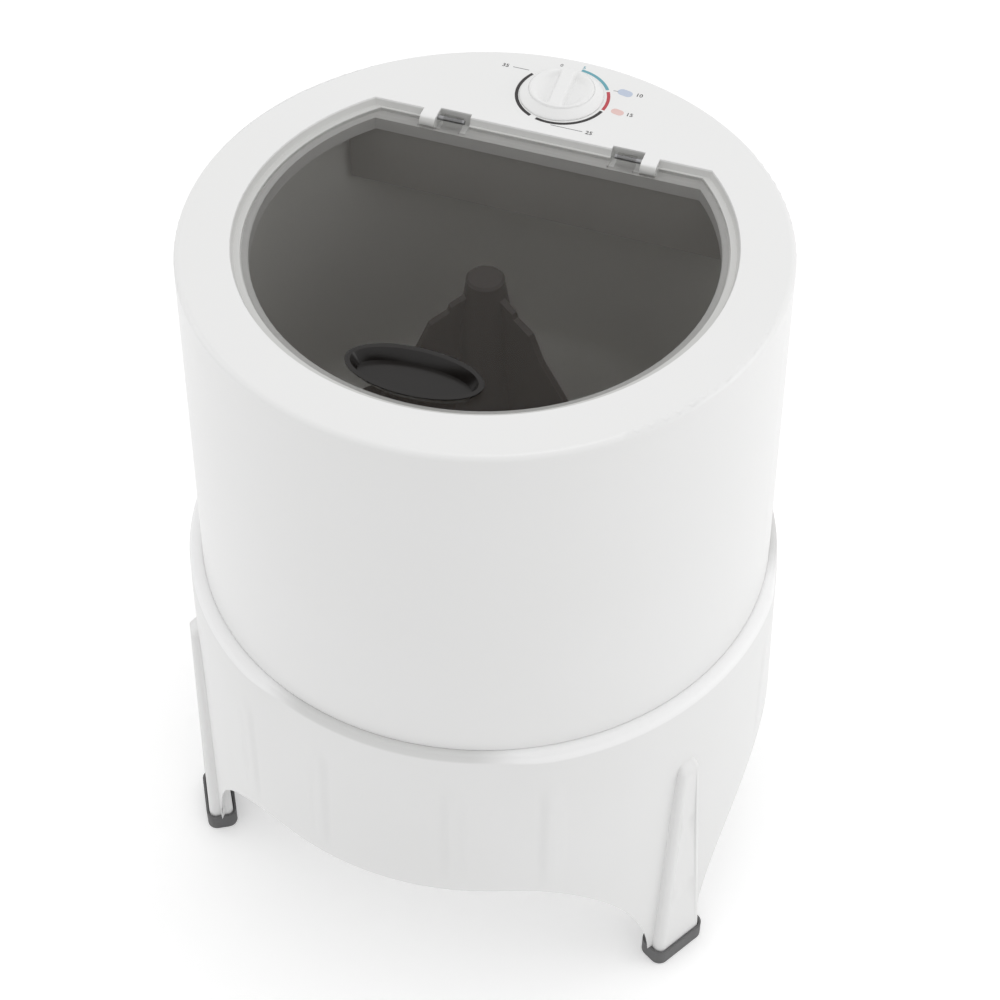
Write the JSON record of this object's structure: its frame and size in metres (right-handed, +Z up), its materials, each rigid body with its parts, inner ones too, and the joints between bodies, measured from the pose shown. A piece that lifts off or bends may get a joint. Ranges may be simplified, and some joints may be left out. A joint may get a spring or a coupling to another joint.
{
  "type": "semi-automatic washing machine",
  "caption": "Round top-loading semi-automatic washing machine with a hinged smoked lid, a timer knob, a finned agitator, a belt drive and a three-legged base.",
  "frame": {"origin": "on the floor, on the axis of the round tub", "axes": "+Z up along the tub axis, -Y towards the front, where the lid opens, +X to the right of someone who looks at the back of the machine from the front side"},
  "size_m": [0.5278, 0.5431, 0.7025],
  "materials": {
    "white_plastic": "gloss",
    "base_plastic": "satin",
    "tub_plastic": "satin",
    "smoked_plastic": "gloss",
    "dark_plastic": "gloss",
    "grey_plastic": "satin",
    "black_plastic": "satin",
    "dark_rubber": "matte",
    "black_rubber": "matte",
    "steel": "satin",
    "zinc_steel": "bright",
    "cast_aluminium": "satin",
    "sintered_bronze": "satin",
    "copper_wire": "satin"
  },
  "bodies": {
    "cabinet": {"outer_shell": "white_plastic", "inner_tub": "tub_plastic", "tub_support_ring": "tub_plastic", "tub_screws": "zinc_steel", "drain_strainer": "grey_plastic", "lid_hinge_pins": "steel", "timer_body": "black_plastic", "timer_screws": "zinc_steel", "timer_chamber_cover": "tub_plastic", "timer_cover_screws": "zinc_steel", "bearing_housing": "cast_aluminium", "upper_bush": "sintered_bronze", "lower_bush": "sintered_bronze", "shaft_seal": "black_rubber", "bearing_housing_bolts": "zinc_steel", "drive_belt": "black_rubber", "motor_upper_shield": "cast_aluminium", "motor_lower_shield": "cast_aluminium", "motor_stator": "steel", "motor_windings": "copper_wire", "motor_bolts": "zinc_steel", "motor_plate": "zinc_steel", "motor_grommets": "black_rubber", "motor_plate_bolts": "zinc_steel", "motor_plate_nuts": "zinc_steel", "capacitor": "black_plastic", "capacitor_clamp": "zinc_steel", "terminal_block": "tub_plastic", "deck_screws": "zinc_steel", "support_deck": "base_plastic", "base": "base_plastic", "base_screws": "zinc_steel", "foot_cap_right": "dark_rubber", "foot_cap_rear": "dark_rubber", "foot_cap_left": "dark_rubber", "under_cover": "base_plastic", "under_cover_screws": "zinc_steel", "drain_hose": "grey_plastic", "drain_hose_clips": "zinc_steel", "drain_outlet": "grey_plastic", "drain_outlet_nut": "grey_plastic", "cord_gland": "black_plastic", "cord_gland_nut": "black_plastic"},
    "lid_body": {"lid": "smoked_plastic", "finger_dish": "dark_plastic"},
    "knob_body": {"timer_knob": "white_plastic", "timer_shaft": "steel"},
    "agitator_drive": {"agitator": "grey_plastic", "agitator_cap": "grey_plastic", "agitator_bolt": "zinc_steel", "drive_shaft": "steel", "drive_pulley": "cast_aluminium", "drive_pulley_nut": "zinc_steel"},
    "motor_drive": {"motor_rotor": "steel", "motor_fan": "black_plastic", "motor_pulley": "cast_aluminium"}
  },
  "joints": [
    {"name": "lid_hinge", "type": "hinge", "parent": "cabinet", "child": "lid_body", "pos_m": [0, 0.1295, 0.684], "axis": [-1, 0, 0], "range_deg": [0, 110]},
    {"name": "timer_knob_turn", "type": "hinge", "parent": "cabinet", "child": "knob_body", "pos_m": [0, 0.186, 0.69], "axis": [0, 0, -1], "range_deg": [0, 300]},
    {"name": "agitator_spin", "type": "hinge", "parent": "cabinet", "child": "agitator_drive", "pos_m": [0, 0, 0.4], "axis": [0, 0, 1], "continuous": true},
    {"name": "motor_spin", "type": "hinge", "parent": "cabinet", "child": "motor_drive", "pos_m": [0, 0.14, 0.29], "axis": [0, 0, 1], "continuous": true}
  ],
  "couplings": [
    {"joint": "motor_spin", "follows": "agitator_spin", "ratio": 5.6757}
  ]
}
